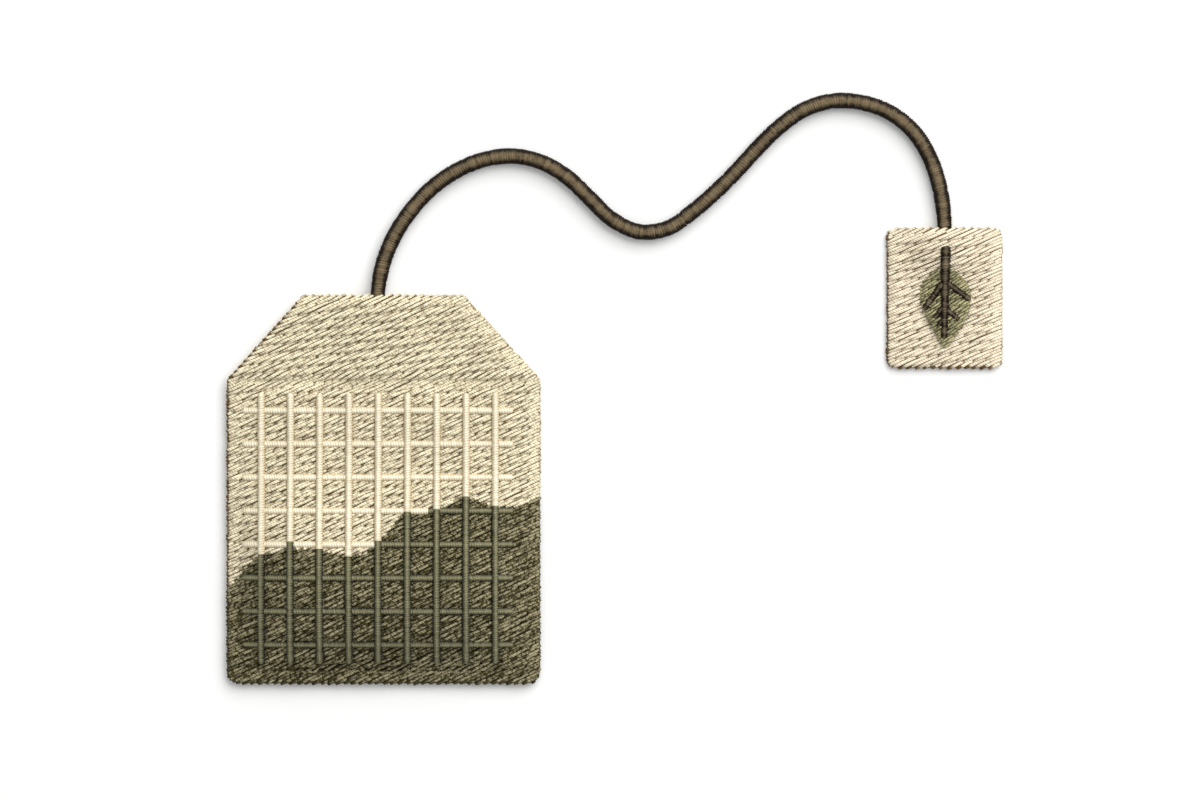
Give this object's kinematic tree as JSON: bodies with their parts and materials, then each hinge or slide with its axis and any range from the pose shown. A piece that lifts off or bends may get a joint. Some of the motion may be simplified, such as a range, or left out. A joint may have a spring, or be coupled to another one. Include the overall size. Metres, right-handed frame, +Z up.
{
  "type": "tea bag",
  "caption": "Flat cloth tea bag with a sloping folded head, raised cord grid, tea showing in its lower part, and a long string to a square tag with a stitched leaf.",
  "frame": {"origin": "on the table under the middle of the pouch's outline", "axes": "+Z up from the table, +Y from the pouch's foot to its head, +X to the right, towards the tag"},
  "size_m": [0.1239, 0.0944, 0.0065],
  "materials": {
    "filter_cloth": "matte",
    "tea": "matte",
    "string_cord": "matte",
    "tag_cloth": "matte",
    "leaf_thread": "matte",
    "stem_thread": "matte"
  },
  "bodies": {
    "root": {"filter_bag": "filter_cloth", "tea_leaves": "tea", "string": "string_cord", "tag": "tag_cloth", "leaf_blade": "leaf_thread", "leaf_stem": "stem_thread"}
  },
  "joints": []
}
